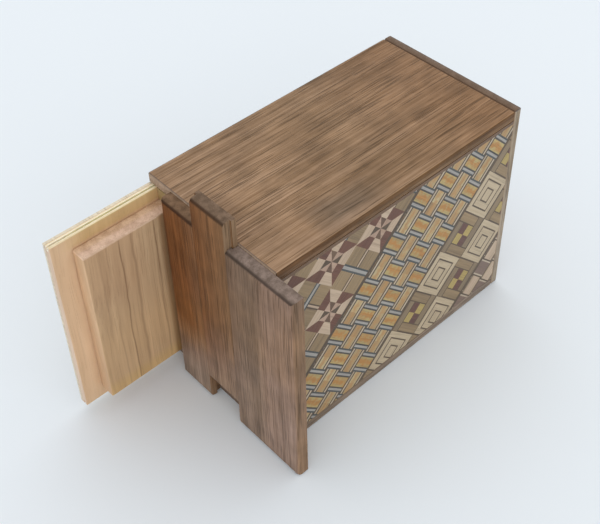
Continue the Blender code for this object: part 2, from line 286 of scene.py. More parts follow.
def star_tile(sheet, faces, middle):
    """A windmill star with a smaller one turned the other way in its heart."""
    inside, outside = ring(sheet, faces, middle, STAR_HEART)
    rim = [f for part in outside for f in part]
    if rim:
        for number, wedge in enumerate(eighths(sheet, rim, middle)):
            sheet.lay(wedge, "maroon" if number % 2 else "cream", turned=number % 4 < 2)
    if inside:
        dark = ["umber", "bistre"]
        for number, wedge in enumerate(eighths(sheet, inside, middle)):
            wood = "rose" if number % 2 else dark[number // 2 % 2]
            sheet.lay(wedge, wood, turned=number % 4 < 2)


def plaid_tile(sheet, faces, middle, crossing):
    """Four olive squares between a bold line and a thin one."""
    first, second = sheet.along, sheet.across
    start, other = middle
    if crossing:
        first, second = second, first
        start, other = other, start
    before, *line, after = sheet.strips(faces, first, lines_at(start, PLAID_BOLD_LINES))
    for part, wood in zip(line, ("slate", "white", "slate")):
        sheet.lay(part, wood, turned=not crossing)
    for part in (before, after):
        bars = sheet.strips(part, second, lines_at(other, PLAID_THIN_LINES))
        for bar, wood in zip(bars, ("olive", "bistre", "cream", "bistre", "olive")):
            sheet.lay(bar, wood, turned=crossing)


def star_band(sheet, faces):
    """Stars and plaid squares by turns."""
    rows = sheet.rows(faces, sheet.across, STAR_CENTRE_ACROSS, STAR_PITCH_ACROSS)
    for row, across, part in rows:
        start = STAR_CENTRE_ALONG - row * STAR_ROW_SHIFT
        columns = sheet.rows(part, sheet.along, start, STAR_PITCH_ALONG)
        for column, along, tile in columns:
            if (row + column) % 2:
                plaid_tile(sheet, tile, (along, across), crossing=row % 2 == 1)
            else:
                star_tile(sheet, tile, (along, across))


def weave_upright(sheet, faces, middle):
    """A strand that passes over, between two white lines."""
    parts = sheet.strips(faces, sheet.along, lines_at(middle[0], WEAVE_UPRIGHT_LINES))
    woods = ("slate", "white", "iron", "amber", "iron", "white", "slate")
    for part, wood in zip(parts, woods):
        sheet.lay(part, wood, turned=True, spine=(sheet.along, middle[0]))


def weave_level(sheet, faces, middle):
    """A strand that passes under, between two thin cream lines."""
    parts = sheet.strips(faces, sheet.across, lines_at(middle[1], WEAVE_LEVEL_LINES))
    woods = ("bistre", "ivory", "bistre", "honey", "bistre", "ivory", "bistre")
    for part, wood in zip(parts, woods):
        sheet.lay(part, wood, spine=(sheet.across, middle[1]))


def weave_band(sheet, faces):
    """A basket weave of orange strands."""
    rows = sheet.rows(faces, sheet.across, WEAVE_CENTRE_ACROSS, WEAVE_PITCH)
    for row, across, part in rows:
        shift = WEAVE_CENTRE_ALONG + (row % 2) * WEAVE_PITCH
        for _, along, pair in sheet.rows(part, sheet.along, shift, 2 * WEAVE_PITCH):
            edges = [along - WEAVE_SHORT, along + WEAVE_SHORT]
            left, upright, right = sheet.strips(pair, sheet.along, edges)
            weave_upright(sheet, upright, (along, across))
            for side, half in ((-1, left), (1, right)):
                weave_level(sheet, half, (along + side * WEAVE_PITCH, across))


def masu_tile(sheet, faces, middle):
    """Squares in squares, like a nest of measuring boxes."""
    inside = faces
    woods = ("bistre", "straw", "bistre", "straw", "bistre")
    for size, wood in zip(MASU_RINGS, woods):
        inside, rim = ring(sheet, inside, middle, size)
        for number, part in enumerate(rim):
            sheet.lay(part, wood, turned=number < 2)
    sheet.lay(inside, "straw")


def check_bar(sheet, faces, direction, lines, wood):
    """One bar of a check's frame, with its dark edges."""
    parts = sheet.strips(faces, direction, lines)
    for part, name in zip(parts, ("bistre", wood, "bistre")):
        sheet.lay(part, name, turned=direction == sheet.along)


def check_tile(sheet, faces, middle):
    """A small check of yellow and purple in a frame of bars that chase each other."""
    along, across = middle
    left, right = along - CHECK_HALF, along + CHECK_HALF
    top, bottom = across - CHECK_HALF, across + CHECK_HALF
    before = (-CHECK_BAR_FAR, -CHECK_BAR_NEAR)
    after = (CHECK_BAR_NEAR, CHECK_BAR_FAR)
    head, rest = sheet.split(faces, sheet.across, top)
    rest, foot = sheet.split(rest, sheet.across, bottom)
    first, inside, last = sheet.strips(rest, sheet.along, [left, right])
    head, corner = sheet.split(head, sheet.along, right)
    last = last + corner
    corner, foot = sheet.split(foot, sheet.along, left)
    first = first + corner
    check_bar(sheet, head, sheet.across, lines_at(top, before), "taupe")
    check_bar(sheet, last, sheet.along, lines_at(right, after), "olive")
    check_bar(sheet, foot, sheet.across, lines_at(bottom, after), "taupe")
    check_bar(sheet, first, sheet.along, lines_at(left, before), "olive")
    for number, half in enumerate(sheet.split(inside, sheet.along, along)):
        upper, lower = sheet.split(half, sheet.across, across)
        sheet.lay(upper, "plum" if number else "yellow")
        sheet.lay(lower, "yellow" if number else "plum", turned=True)


def masu_band(sheet, faces):
    """Nested squares and checks by turns."""
    rows = sheet.rows(faces, sheet.across, MASU_CENTRE_ACROSS, MASU_PITCH_ACROSS)
    for row, across, part in rows:
        start = MASU_CENTRE_ALONG + row % 2 * MASU_ROW_SHIFT
        columns = sheet.rows(part, sheet.along, start, MASU_PITCH_ALONG)
        for column, along, tile in columns:
            if (row + column) % 2:
                check_tile(sheet, tile, (along, across))
            else:
                masu_tile(sheet, tile, (along, across))


def plank_band(sheet, faces):
    """A pale and brown weave."""
    rows = sheet.rows(faces, sheet.across, PLANK_CENTRE_ACROSS, PLANK_PITCH)
    for row, across, part in rows:
        shift = PLANK_CENTRE_ALONG + (row % 2) * PLANK_PITCH
        for _, along, pair in sheet.rows(part, sheet.along, shift, 2 * PLANK_PITCH):
            edges = [along - PLANK_LEVEL, along + PLANK_LEVEL]
            left, middle, right = sheet.strips(pair, sheet.along, edges)
            level = sheet.strips(middle, sheet.across, lines_at(across, PLANK_LEVEL_LINES))
            for bar, wood in zip(level, ("bistre", "taupe", "cream", "taupe", "bistre")):
                sheet.lay(bar, wood)
            for side, half in ((-1, left), (1, right)):
                centre = along + side * PLANK_PITCH
                bars = sheet.strips(half, sheet.along, lines_at(centre, PLANK_UPRIGHT_LINES))
                for bar, wood in zip(bars, ("bistre", "ivory", "plum_grey", "ivory", "bistre")):
                    sheet.lay(bar, wood, turned=True)


def inlay(name, body, low, high, outward, node, seed, rim, materials):
    """A sheet of marquetry whose outer face is scribed into its bands."""
    mirror = -outward
    bm = slab(low, high)
    middle = (low + high) / 2
    front = high.y if outward > 0 else low.y
    origin = Vector((middle.x + PATTERN_SHIFT * MM, front, PATTERN_MIDDLE_HEIGHT * MM))
    along = Vector((mirror * SLOPE, 0, SLOPE))
    across = Vector((mirror * SLOPE, 0, -SLOPE))
    sheet = Sheet(bm, origin, along, across, list(VENEERS), seed)
    bm.normal_update()
    outer = [f for f in bm.faces if f.normal.y * outward > FACING_OUT]
    others = [f for f in bm.faces if f not in outer]
    upright = Vector((0, 0, 1))
    field, head = sheet.split(outer, upright, UPPER_BORDER)
    sheet.lay(head, "border")
    bands = sheet.strips(field, across, BAND_LINES)
    star_band(sheet, bands[0])
    weave_band(sheet, bands[2])
    masu_band(sheet, bands[4])
    plank_band(sheet, bands[6])
    for line in (bands[1], bands[3], bands[5]):
        sheet.lay(line, "bistre")
    sheet.lay(others, rim)
    return finish_piece(bm, name, body, [node], materials)


def add_node(tree, kind, sockets=None, **settings):
    """A node with its settings, and its sockets set or linked."""
    made = tree.nodes.new(kind)
    for name, value in settings.items():
        setattr(made, name, value)
    for key, value in (sockets or {}).items():
        if isinstance(value, bpy.types.NodeSocket):
            tree.links.new(value, made.inputs[key])
        else:
            made.inputs[key].default_value = value
    return made


def colour(red, green, blue):
    """A colour with full cover."""
    return (red, green, blue, 1)


def math_node(tree, operation, first, second=0.0):
    """The result of one sum."""
    made = add_node(tree, "ShaderNodeMath", {0: first, 1: second}, operation=operation)
    return made.outputs[0]


def spread(tree, value, low, high, start=0.0, end=1.0):
    """A value spread from one range to another, and held inside it."""
    sockets = {"Value": value, 1: low, 2: high, 3: start, 4: end}
    return add_node(tree, "ShaderNodeMapRange", sockets).outputs["Result"]


def blend_colours(tree, factor, first, second, kind="MIX"):
    """Two colours mixed by a factor."""
    made = add_node(tree, "ShaderNodeMix", data_type="RGBA", blend_type=kind)
    for index, value in ((0, factor), (6, first), (7, second)):
        if isinstance(value, bpy.types.NodeSocket):
            tree.links.new(value, made.inputs[index])
        else:
            made.inputs[index].default_value = value
    return made.outputs[2]


def grey(tree, value):
    """A value as a grey."""
    return add_node(tree, "ShaderNodeCombineColor", {0: value, 1: value, 2: value}).outputs[0]


def vector_node(tree, operation, first, second):
    """The result of one sum of vectors."""
    made = add_node(tree, "ShaderNodeVectorMath", {0: first, 1: second}, operation=operation)
    return made.outputs[0]


def noise(tree, vector, scale, detail=2.0, roughness=0.5):
    """Soft noise as a value."""
    sockets = {"Vector": vector, "Scale": scale, "Detail": detail, "Roughness": roughness}
    return add_node(tree, "ShaderNodeTexNoise", sockets).outputs["Fac"]


def new_group(name, sockets_in, sockets_out):
    """An empty node group with its sockets."""
    group = bpy.data.node_groups.new(name, "ShaderNodeTree")
    for label, kind in sockets_in:
        group.interface.new_socket(label, in_out="INPUT", socket_type=kind)
    for label, kind in sockets_out:
        group.interface.new_socket(label, in_out="OUTPUT", socket_type=kind)
    start = group.nodes.new("NodeGroupInput")
    end = group.nodes.new("NodeGroupOutput")
    return group, start, end


# The marks of the grain: how many times longer than wide they are drawn, how fine they are, and
# the range of their noise that shows.
SWAY_SCALE = 16.0
BAND_MARKS = {"length": 38, "scale": 500.0, "detail": 3.0, "roughness": 0.5}
BAND_RANGE = (0.32, 0.68)
STREAK_MARKS = {"length": 52, "scale": 1200.0, "detail": 4.0, "roughness": 0.78}
STREAK_RANGE = (0.33, 0.67)
PORE_MARKS = {"length": 48, "scale": 2500.0, "detail": 1.0, "roughness": 0.5}
PORE_EDGE = 0.05
CLUSTER_MARKS = {"length": 14, "scale": 300.0, "detail": 1.0, "roughness": 0.5}
CLUSTER_RANGE = (0.38, 0.62)
PORE_LEVELS = (0.65, 0.55)
STREAK_RELIEF = 0.3
RING_SCALE = 420.0
RING_RANGE = (0.35, 0.65)
DOT_SCALE = 2400.0
DOT_RANGE = (0.54, 0.66)


def grain_marks(tree, fine, length, scale, detail, roughness):
    """Noise that is drawn out along the first axis."""
    drawn = vector_node(tree, "MULTIPLY", fine, (1 / length, 1, 1))
    return noise(tree, drawn, scale, detail, roughness)


def make_long_grain():
    """Grain that runs along the first axis: broad bands, fine streaks and open pores."""
    scalar = "NodeSocketFloat"
    inlets = [("Vector", "NodeSocketVector")]
    inlets += [(label, scalar) for label in ("Seed", "Fineness", "Wander")]
    outlets = [(label, scalar) for label in ("Bands", "Streaks", "Pores", "Relief")]
    tree, start, end = new_group("long_grain", inlets, outlets)
    seed = start.outputs["Seed"]
    shift = add_node(tree, "ShaderNodeCombineXYZ", {0: seed, 1: seed}).outputs[0]
    moved = vector_node(tree, "ADD", start.outputs["Vector"], shift)
    sway = noise(tree, moved, SWAY_SCALE, detail=1.0)
    sway = math_node(tree, "SUBTRACT", sway, 0.5)
    sway = math_node(tree, "MULTIPLY", sway, start.outputs["Wander"])
    push = add_node(tree, "ShaderNodeCombineXYZ", {1: sway, 2: sway}).outputs[0]
    swayed = vector_node(tree, "ADD", moved, push)
    sockets = {0: swayed, 3: start.outputs["Fineness"]}
    fine = add_node(tree, "ShaderNodeVectorMath", sockets, operation="SCALE").outputs[0]

    bands = spread(tree, grain_marks(tree, fine, **BAND_MARKS), *BAND_RANGE)
    streaks = spread(tree, grain_marks(tree, fine, **STREAK_MARKS), *STREAK_RANGE)
    clusters = grain_marks(tree, fine, **CLUSTER_MARKS)
    level = spread(tree, clusters, *CLUSTER_RANGE, *PORE_LEVELS)
    pores = math_node(tree, "SUBTRACT", grain_marks(tree, fine, **PORE_MARKS), level)
    pores = spread(tree, pores, 0.0, PORE_EDGE)
    relief = math_node(tree, "MULTIPLY", streaks, STREAK_RELIEF)
    relief = math_node(tree, "SUBTRACT", relief, pores)
    results = {"Bands": bands, "Streaks": streaks, "Pores": pores, "Relief": relief}
    for label, value in results.items():
        tree.links.new(value, end.inputs[label])
    return tree


def make_end_grain():
    """The cut ends of the fibres: rings and dots."""
    scalar = "NodeSocketFloat"
    outlets = [("Rings", scalar), ("Dots", scalar)]
    tree, start, end = new_group("end_grain", [("Vector", "NodeSocketVector")], outlets)
    rings = noise(tree, start.outputs["Vector"], RING_SCALE, detail=3.0)
    rings = spread(tree, rings, *RING_RANGE)
    dots = noise(tree, start.outputs["Vector"], DOT_SCALE, detail=1.0)
    dots = spread(tree, dots, *DOT_RANGE)
    tree.links.new(rings, end.inputs["Rings"])
    tree.links.new(dots, end.inputs["Dots"])
    return tree


def make_dark_line():
    """One dark line in the figure, at a place across the grain."""
    scalar = "NodeSocketFloat"
    inlets = [(label, scalar) for label in ("Across", "Place", "Width")]
    tree, start, end = new_group("dark_line", inlets, [("Mask", scalar)])
    away = math_node(tree, "SUBTRACT", start.outputs["Across"], start.outputs["Place"])
    away = math_node(tree, "ABSOLUTE", away)
    away = math_node(tree, "DIVIDE", away, start.outputs["Width"])
    mask = spread(tree, away, 0.0, 1.0, 1.0, 0.0)
    tree.links.new(mask, end.inputs["Mask"])
    return tree


LONG_GRAIN = make_long_grain()
END_GRAIN = make_end_grain()
DARK_LINE = make_dark_line()

# How a board's colour, roughness and relief vary over it, and the veneers' own.
NOISE_RANGE = (0.3, 0.7)
CAST_SCALE = 28.0
CAST_RANGE = (0.35, 0.7)
BLOTCH_SCALE = 95.0
BLOTCH_RANGE = (0.32, 0.68)
FACING_RANGE = (0.5, 0.8)
ACROSS_GRAIN = (0.2, 0.5)
SQUARE_CUT = (0.8, 0.97)
ROUGHER_BETWEEN = 0.06
SMOOTHER_STREAKS = 0.04
ROUGHER_ENDS = 0.2
BOARD_RELIEF = 0.05 * MM
COAT_ROUGHNESS = 0.35
LINE_WOBBLE = 0.4 * MM
LINE_WOBBLE_SCALE = 60.0
LINE_FADE = 8
LINE_HEAD_SHARE = 0.4
VENEER_ROUGHNESS = (0.5, 0.42)
VENEER_COAT = 0.12
VENEER_HABIT = {"Seed": 0.37, "Fineness": 1.5, "Wander": 0.002}
VENEER_STREAKS = (0.88, 1.08)
VENEER_PORE = colour(0.1, 0.06, 0.04)
VENEER_PORE_SHARE = 0.25
VENEER_RELIEF = 0.03 * MM
HEART_MOTTLE_SCALE = 520.0
HEART_MOTTLE = 1.2
HEART_RANGE = (0.2, 2.0)
HEART_SHARE = 0.85
NO_TINTS = {}


def use_group(tree, group, **sockets):
    """A node group in a material, with its own values."""
    made = tree.nodes.new("ShaderNodeGroup")
    made.node_tree = group
    for label, value in sockets.items():
        if isinstance(value, bpy.types.NodeSocket):
            tree.links.new(value, made.inputs[label])
        else:
            made.inputs[label].default_value = value
    return made.outputs


def new_material(name, roughness, coat=0.0, shine=0.3):
    """A material with its shader, whose plain values are set on the shader itself."""
    material = bpy.data.materials.new(name)
    material.use_nodes = True
    tree = material.node_tree
    shader = tree.nodes["Principled BSDF"]
    shader.inputs["Roughness"].default_value = roughness
    shader.inputs["Coat Weight"].default_value = coat
    shader.inputs["Coat Roughness"].default_value = COAT_ROUGHNESS
    shader.inputs["Specular IOR Level"].default_value = shine
    return material, tree, shader


def bump(tree, shader, height, depth):
    """Puts a height on the surface."""
    made = add_node(tree, "ShaderNodeBump", {"Height": height, "Distance": depth, "Strength": 1.0})
    tree.links.new(made.outputs["Normal"], shader.inputs["Normal"])


def turned_to_grain(tree, vector, grain):
    """The place on the piece with its first axis along the grain."""
    order = {"x": (0, 1, 2), "y": (1, 0, 2), "z": (2, 1, 0)}[grain]
    parts = add_node(tree, "ShaderNodeSeparateXYZ", {0: vector}).outputs
    sockets = {index: parts[source] for index, source in enumerate(order)}
    return add_node(tree, "ShaderNodeCombineXYZ", sockets).outputs[0], parts


def tint(tone, *ramps, facing=None, share=1.0):
    """A tone that multiplies part of a board's colour.

    Each ramp is an axis, and the places on it in millimetres where the change starts and where it
    is whole.
    """
    return tone, ramps, facing, share


def edge_ramp(node, axis, side, start, whole):
    """A ramp whose places are distances in from a node's face, in millimetres."""
    inwards = -1 if side else 1
    edge = face_place(node, axis, side) / MM
    return axis, edge + inwards * start, edge + inwards * whole


def tinted(tree, face, change, parts, normals):
    """A board's colour with one change of colour laid over part of it."""
    tone, ramps, facing, amount = change
    for axis, start, end in ramps:
        step = spread(tree, parts[AXES[axis]], start * MM, end * MM)
        amount = math_node(tree, "MULTIPLY", step, amount)
    if facing:
        axis, sign = facing
        side = math_node(tree, "MULTIPLY", normals[AXES[axis]], sign)
        amount = math_node(tree, "MULTIPLY", spread(tree, side, *FACING_RANGE), amount)
    return blend_colours(tree, amount, face, colour(*tone), "MULTIPLY")


def figure_line(tree, place, parts, line):
    """The mask of one dark line that runs down a board, between two heights."""
    upper, lower, width, strength, low, high = line
    course = spread(tree, parts[AXES["z"]], high * MM, low * MM, upper * MM, lower * MM)
    wobble = noise(tree, place, LINE_WOBBLE_SCALE)
    wobble = spread(tree, wobble, *NOISE_RANGE, -LINE_WOBBLE, LINE_WOBBLE)
    across = math_node(tree, "ADD", parts[AXES["x"]], wobble)
    mask = use_group(tree, DARK_LINE, Across=across, Place=course, Width=width * MM)["Mask"]
    height = parts[AXES["z"]]
    head = spread(tree, height, high * MM, (high - LINE_FADE) * MM, LINE_HEAD_SHARE, 1.0)
    foot = spread(tree, height, low * MM, (low + LINE_FADE) * MM)
    mask = math_node(tree, "MULTIPLY", mask, head)
    mask = math_node(tree, "MULTIPLY", mask, foot)
    return math_node(tree, "MULTIPLY", mask, strength)


def board_wood(name, grain, seed, tones, tints=NO_TINTS, lines=()):
    """Solid wood with its grain along one axis, and end grain where it is cut across."""
    roughness = tones["roughness"]
    material, tree, shader = new_material(name, roughness, tones["coat"], tones["shine"])
    coords = add_node(tree, "ShaderNodeTexCoord")
    spot = coords.outputs["Object"]
    place, parts = turned_to_grain(tree, spot, grain)
    habit = {"Seed": seed, "Fineness": tones["fineness"], "Wander": tones["wander"]}
    figure = use_group(tree, LONG_GRAIN, Vector=place, **habit)
    face = blend_colours(tree, figure["Bands"], tones["dark"], tones["light"])
    streak = blend_colours(tree, figure["Streaks"], *tones["streaks"])
    face = blend_colours(tree, 1.0, face, streak, "MULTIPLY")
    patch = spread(tree, noise(tree, spot, CAST_SCALE), *CAST_RANGE, 0.0, tones["cast_share"])
    face = blend_colours(tree, patch, face, tones["cast"])
    blotch = noise(tree, spot, BLOTCH_SCALE, detail=3.0)
    blotch = spread(tree, blotch, *BLOTCH_RANGE, *tones["blotch"])
    face = blend_colours(tree, 1.0, face, grey(tree, blotch), "MULTIPLY")
    pore = math_node(tree, "MULTIPLY", figure["Pores"], tones["pore_share"])
    face = blend_colours(tree, pore, face, tones["pore"])
    for line in lines:
        mask = figure_line(tree, place, parts, line)
        face = blend_colours(tree, mask, face, tones["line"])
    ends = use_group(tree, END_GRAIN, Vector=spot)
    cut = blend_colours(tree, ends["Rings"], tones["end_dark"], tones["end_light"])
    dots = math_node(tree, "MULTIPLY", ends["Dots"], tones["dot_share"])
    cut = blend_colours(tree, dots, cut, tones["pore"])
    normals = add_node(tree, "ShaderNodeSeparateXYZ", {0: coords.outputs["Normal"]}).outputs
    steep = math_node(tree, "ABSOLUTE", normals[AXES[grain]])
    facing = spread(tree, steep, *ACROSS_GRAIN)
    whole = blend_colours(tree, facing, face, cut)
    flat = spread(tree, steep, *SQUARE_CUT, tones["round_share"], 0.0)
    turning = math_node(tree, "MULTIPLY", facing, flat)
    whole = blend_colours(tree, turning, whole, tones["round"])
    for change in tints.values():
        whole = tinted(tree, whole, change, parts, normals)
    tree.links.new(whole, shader.inputs["Base Color"])
    limits = (roughness + ROUGHER_BETWEEN, roughness - SMOOTHER_STREAKS)
    rough = spread(tree, figure["Streaks"], 0.0, 1.0, *limits)
    rough = math_node(tree, "ADD", rough, math_node(tree, "MULTIPLY", facing, ROUGHER_ENDS))
    tree.links.new(rough, shader.inputs["Roughness"])
    bump(tree, shader, figure["Relief"], BOARD_RELIEF)
    return material


def veneer(name, pale, deep, contrast, heart=None):
    """A thin veneer with its grain along its own map, and a warmer heart where it has one."""
    material, tree, shader = new_material("veneer_" + name, VENEER_ROUGHNESS[1], VENEER_COAT)
    spot = add_node(tree, "ShaderNodeUVMap", uv_map="grain").outputs[0]
    figure = use_group(tree, LONG_GRAIN, Vector=spot, **VENEER_HABIT)
    shade = add_node(tree, "ShaderNodeAttribute", attribute_name="shade").outputs["Fac"]
    mixed = math_node(tree, "MULTIPLY", figure["Bands"], contrast)
    level = math_node(tree, "MULTIPLY", shade, 1.0 - contrast)
    level = math_node(tree, "ADD", level, mixed)
    face = blend_colours(tree, level, deep, pale)
    if heart:
        away = add_node(tree, "ShaderNodeAttribute", attribute_name="core").outputs["Fac"]
        away = math_node(tree, "ABSOLUTE", away)
        mottle = noise(tree, spot, HEART_MOTTLE_SCALE)
        mottle = spread(tree, mottle, *NOISE_RANGE, -HEART_MOTTLE, HEART_MOTTLE)
        away = math_node(tree, "ADD", away, mottle)
        share = spread(tree, away, *HEART_RANGE, HEART_SHARE, 0.0)
        face = blend_colours(tree, share, face, heart)
    streak = spread(tree, figure["Streaks"], 0.0, 1.0, *VENEER_STREAKS)
    face = blend_colours(tree, 1.0, face, grey(tree, streak), "MULTIPLY")
    pores = math_node(tree, "MULTIPLY", figure["Pores"], VENEER_PORE_SHARE)
    face = blend_colours(tree, pores, face, VENEER_PORE)
    tree.links.new(face, shader.inputs["Base Color"])
    rough = spread(tree, figure["Streaks"], 0.0, 1.0, *VENEER_ROUGHNESS)
    tree.links.new(rough, shader.inputs["Roughness"])
    bump(tree, shader, figure["Relief"], VENEER_RELIEF)
    return material


# Each veneer has a pale tone, a deep tone, the share of its grain in the change between them,
# and a heart tone where it has one.
VENEERS = {
    "cream": (colour(0.57, 0.432, 0.307), colour(0.475, 0.34, 0.233), 0.5),
    "straw": (colour(0.56, 0.443, 0.293), colour(0.47, 0.36, 0.232), 0.5),
    "ivory": (colour(0.56, 0.46, 0.34), colour(0.44, 0.35, 0.25), 0.5),
    "white": (colour(0.40, 0.37, 0.33), colour(0.33, 0.31, 0.29), 0.4),
    "slate": (colour(0.085, 0.088, 0.084), colour(0.05, 0.056, 0.055), 0.5),
    "iron": (colour(0.085, 0.07, 0.058), colour(0.045, 0.04, 0.037), 0.5),
    "maroon": (colour(0.18, 0.073, 0.044), colour(0.11, 0.044, 0.027), 0.5),
    "umber": (colour(0.177, 0.105, 0.06), colour(0.106, 0.055, 0.032), 0.3),
    "bistre": (colour(0.117, 0.075, 0.042), colour(0.072, 0.046, 0.028), 0.5),
    "rose": (colour(0.50, 0.344, 0.252), colour(0.39, 0.25, 0.174), 0.5),
    "olive": (colour(0.335, 0.23, 0.12), colour(0.225, 0.152, 0.08), 0.6),
    "amber": (colour(0.52, 0.40, 0.16), colour(0.36, 0.26, 0.11), 0.4, colour(0.45, 0.19, 0.04)),
    "honey": (colour(0.56, 0.46, 0.26), colour(0.33, 0.20, 0.09), 0.3, colour(0.46, 0.25, 0.09)),
    "yellow": (colour(0.474, 0.346, 0.1155), colour(0.39, 0.282, 0.089), 0.5),
    "plum": (colour(0.157, 0.064, 0.045), colour(0.109, 0.048, 0.037), 0.5),
    "plum_grey": (colour(0.24, 0.159, 0.117), colour(0.182, 0.117, 0.09), 0.5),
    "taupe": (colour(0.28, 0.20, 0.113), colour(0.205, 0.145, 0.088), 0.5),
    "border": (colour(0.173, 0.098, 0.053), colour(0.147, 0.081, 0.043), 0.7),
    "edge": (colour(0.84, 0.735, 0.56), colour(0.735, 0.61, 0.45), 0.5),
}
VENEER_STOCK = [veneer(wood, *VENEERS[wood]) for wood in VENEERS]

WALNUT = {
    "dark": colour(0.24, 0.138, 0.069),
    "light": colour(0.346, 0.208, 0.115),
    "streaks": (colour(0.64, 0.59, 0.50), colour(1.28, 1.33, 1.45)),
    "blotch": (0.83, 1.15),
    "cast": colour(0.28, 0.17, 0.097),
    "cast_share": 0.3,
    "pore": colour(0.07, 0.038, 0.017),
    "pore_share": 0.58,
    "dot_share": 0.3,
    "end_dark": colour(0.16, 0.105, 0.075),
    "end_light": colour(0.20, 0.135, 0.10),
    "round": colour(0.085, 0.055, 0.038),
    "round_share": 0.75,
    "fineness": 1.0,
    "wander": 0.0015,
    "roughness": 0.5,
    "coat": 0.02,
    "shine": 0.15,
}
LIGHT_WOOD = {
    "dark": colour(0.45, 0.285, 0.155),
    "light": colour(0.58, 0.385, 0.22),
    "streaks": (colour(0.93, 0.93, 0.93), colour(1.05, 1.05, 1.05)),
    "blotch": (0.98, 1.02),
    "cast": colour(0.52, 0.34, 0.205),
    "cast_share": 0.35,
    "pore": colour(0.25, 0.14, 0.07),
    "pore_share": 0.12,
    "dot_share": 0.25,
    "end_dark": colour(0.56, 0.36, 0.25),
    "end_light": colour(0.74, 0.51, 0.37),
    "round": colour(0.62, 0.44, 0.29),
    "round_share": 0.5,
    "fineness": 1.0,
    "wander": 0.006,
    "roughness": 0.6,
    "coat": 0.0,
    "shine": 0.3,
}
RAIL_WOOD = dict(LIGHT_WOOD, dark=colour(0.34, 0.24, 0.10), light=colour(0.44, 0.32, 0.15))
END_BOARD_WOOD = dict(
    WALNUT,
    cast=colour(0.22, 0.15, 0.115),
    cast_share=0.5,
    end_dark=colour(0.135, 0.089, 0.063),
    end_light=colour(0.228, 0.154, 0.114),
)
BLOCK_WOOD = dict(LIGHT_WOOD, fineness=0.7, roughness=0.55, line=colour(0.15, 0.072, 0.028))
LID_WOOD = dict(
    BLOCK_WOOD,
    dark=colour(0.70, 0.457, 0.268),
    light=colour(0.79, 0.533, 0.328),
    cast=colour(0.745, 0.49, 0.306),
    end_dark=colour(0.80, 0.62, 0.38),
    end_light=colour(0.88, 0.72, 0.48),
    round=colour(0.85, 0.68, 0.45),
    dot_share=0.12,
    pore_share=0.04,
    streaks=(colour(0.97, 0.97, 0.97), colour(1.02, 1.02, 1.02)),
)


def dress(node, name, body, material, fits=()):
    """Puts a piece in a node's own shape, fitted to its neighbours, with smooth round edges."""
    bm = node_shape(node)
    for axis, place, target in fits:
        draw_out(bm, axis, place, target)
    return finish_piece(bm, name, body, [node], [material], SMOOTH_ANGLE)


def paint_node(node, material):
    """Gives a node that stays its finish."""
    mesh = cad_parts[node].data
    mesh.materials.clear()
    mesh.materials.append(material)


def walnut_boards():
    """The two side panels and the far end board."""
    top = "top_side_panel"
    # The place of a painted sheen on the top: a soft bluish-grey patch that stands in for a
    # reflection.
    sheen_place = (("x", -38, -27), ("x", -3, -16), ("y", -33, -27), ("y", -16, -22))
    upper_tints = dict(
        paler_near=tint((1.16, 1.17, 1.22), ("x", -5, -50)),
        warmer_far=tint((0.945, 0.86, 0.77), ("x", 5, 45)),
        # Painted sheen: a bluish-grey patch where a reflection falls on the top.
        painted_sheen=tint((0.66, 0.73, 0.84), *sheen_place, share=0.9),
        darker_edge=tint((0.568, 0.519, 0.453), facing=BASE_SIDE),
        edge_pales_far=tint((1.35, 1.45, 1.35), ("x", -40, 45), facing=BASE_SIDE),
        lit_foot_of_edge=tint((1.35, 1.3, 1.22), edge_ramp(top, "z", 0, 0.6, 0.2)),
        lit_far_seam=tint((1.5, 1.4, 1.25), edge_ramp(top, "x", 1, 0.5, 0.2)),
        brown_head=tint((0.74, 0.64, 0.51), edge_ramp(top, "z", 1, 2.5, 1.7), facing=BASE_SIDE),
        pale_near_end=tint((2.05, 2.15, 2.0), facing=KEY_END),
        dark_lid_edge=tint((0.55, 0.58, 0.66), edge_ramp(top, "y", 1, 0.6, 0.3)),
        # Painted highlights: thin pale lines along the rounded edges of the top, where light glints
        # on the rounding.
        painted_highlight_near_edge=tint((1.3, 1.36, 1.45), edge_ramp(top, "x", 0, 0.35, 0.2), facing=TOPSIDE),
        painted_highlight_base_edge=tint((1.15, 1.18, 1.22), edge_ramp(top, "y", 0, 0.5, 0.3), facing=TOPSIDE),
    )
    upper = board_wood("walnut_top", "x", seed=0.13, tones=WALNUT, tints=upper_tints)
    lower_tints = dict(
        edge=tint((0.8, 0.97, 1.26), facing=BASE_SIDE),
        edge_pales_far=tint((1.14, 1.18, 1.24), ("x", 18, 36), facing=BASE_SIDE),
    )
    lower = board_wood("walnut_bottom", "x", seed=0.57, tones=WALNUT, tints=lower_tints)
    board = "far_end_board"
    far_tints = dict(
        pale_edge=tint((1.32, 1.75, 2.36), facing=BASE_SIDE),
        warmer_top=tint((0.99, 0.95, 0.86), facing=TOPSIDE),
        paler_outside=tint((1.14, 1.22, 1.34), edge_ramp(board, "x", 1, 2.0, 0.8), facing=TOPSIDE),
        lit_seam=tint((1.25, 1.12, 1.0), edge_ramp(board, "x", 0, 0.3, -0.05)),
    )
    far = board_wood("walnut_far_end", "z", seed=0.29, tones=WALNUT, tints=far_tints)
    dress(top, "walnut_top_panel", "box", upper)
    dress("bottom_side_panel", "walnut_bottom_panel", "box", lower)
    place = face_place(board, "x", 0)
    target = face_place(top, "x", 1) + SEAT_GAP
    dress(board, "walnut_far_board", "box", far, [("x", place, target)])


